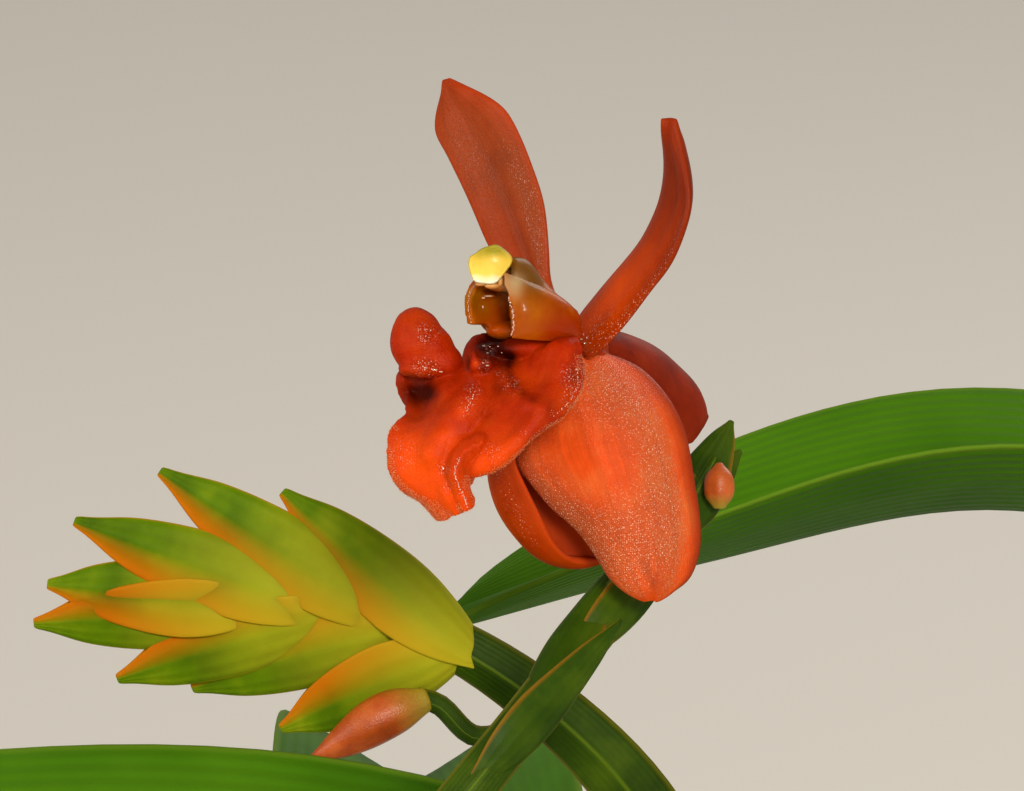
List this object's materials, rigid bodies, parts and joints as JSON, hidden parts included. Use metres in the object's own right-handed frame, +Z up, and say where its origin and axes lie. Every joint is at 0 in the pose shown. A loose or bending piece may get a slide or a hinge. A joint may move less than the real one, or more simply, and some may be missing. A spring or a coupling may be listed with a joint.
{
  "type": "potted orchid",
  "caption": "Small flowering orchid with arching folded leaves, flat spikes and tiny orange-red flowers, on bark in a clay pot.",
  "frame": {"origin": "centre of the pot's flat underside, on the surface it stands on", "axes": "+Z up through the pot's axis; the front flower faces -X and a little towards -Y, and -Y is the side the picture is taken from"},
  "size_m": [0.1905, 0.1841, 0.1911],
  "materials": {
    "terracotta": "matte",
    "bark": "matte",
    "rhizome": "matte",
    "pseudobulb": "satin",
    "leaf": "satin",
    "tepal": "satin",
    "lip": "satin",
    "column": "gloss",
    "anther_cap": "satin",
    "spike": "satin",
    "bud": "satin"
  },
  "bodies": {
    "root": {"pot": "terracotta", "bark": "bark", "rhizome": "rhizome", "pseudobulb_1": "pseudobulb", "pseudobulb_2": "pseudobulb", "pseudobulb_3": "pseudobulb", "pseudobulb_4": "pseudobulb", "pseudobulb_5": "pseudobulb", "pseudobulb_6": "pseudobulb", "pseudobulb_7": "pseudobulb", "pseudobulb_8": "pseudobulb", "pseudobulb_9": "pseudobulb", "pseudobulb_10": "pseudobulb", "pseudobulb_11": "pseudobulb", "pseudobulb_12": "pseudobulb", "leaf_1": "leaf", "leaf_2": "leaf", "leaf_3": "leaf", "leaf_4": "leaf", "leaf_5": "leaf", "leaf_6": "leaf", "leaf_7": "leaf", "leaf_8": "leaf", "leaf_9": "leaf", "leaf_10": "leaf", "flower_1_sepals_petals": "tepal", "flower_1_lip": "lip", "flower_1_column": "column", "flower_1_anther_cap": "anther_cap", "flower_2_sepals_petals": "tepal", "flower_2_lip": "lip", "flower_2_column": "column", "flower_2_anther_cap": "anther_cap", "spike_1": "spike", "spike_1_bud": "bud", "spike_2": "spike", "spike_2_bud": "bud", "spike_3": "spike", "spike_3_bud": "bud"}
  },
  "joints": []
}
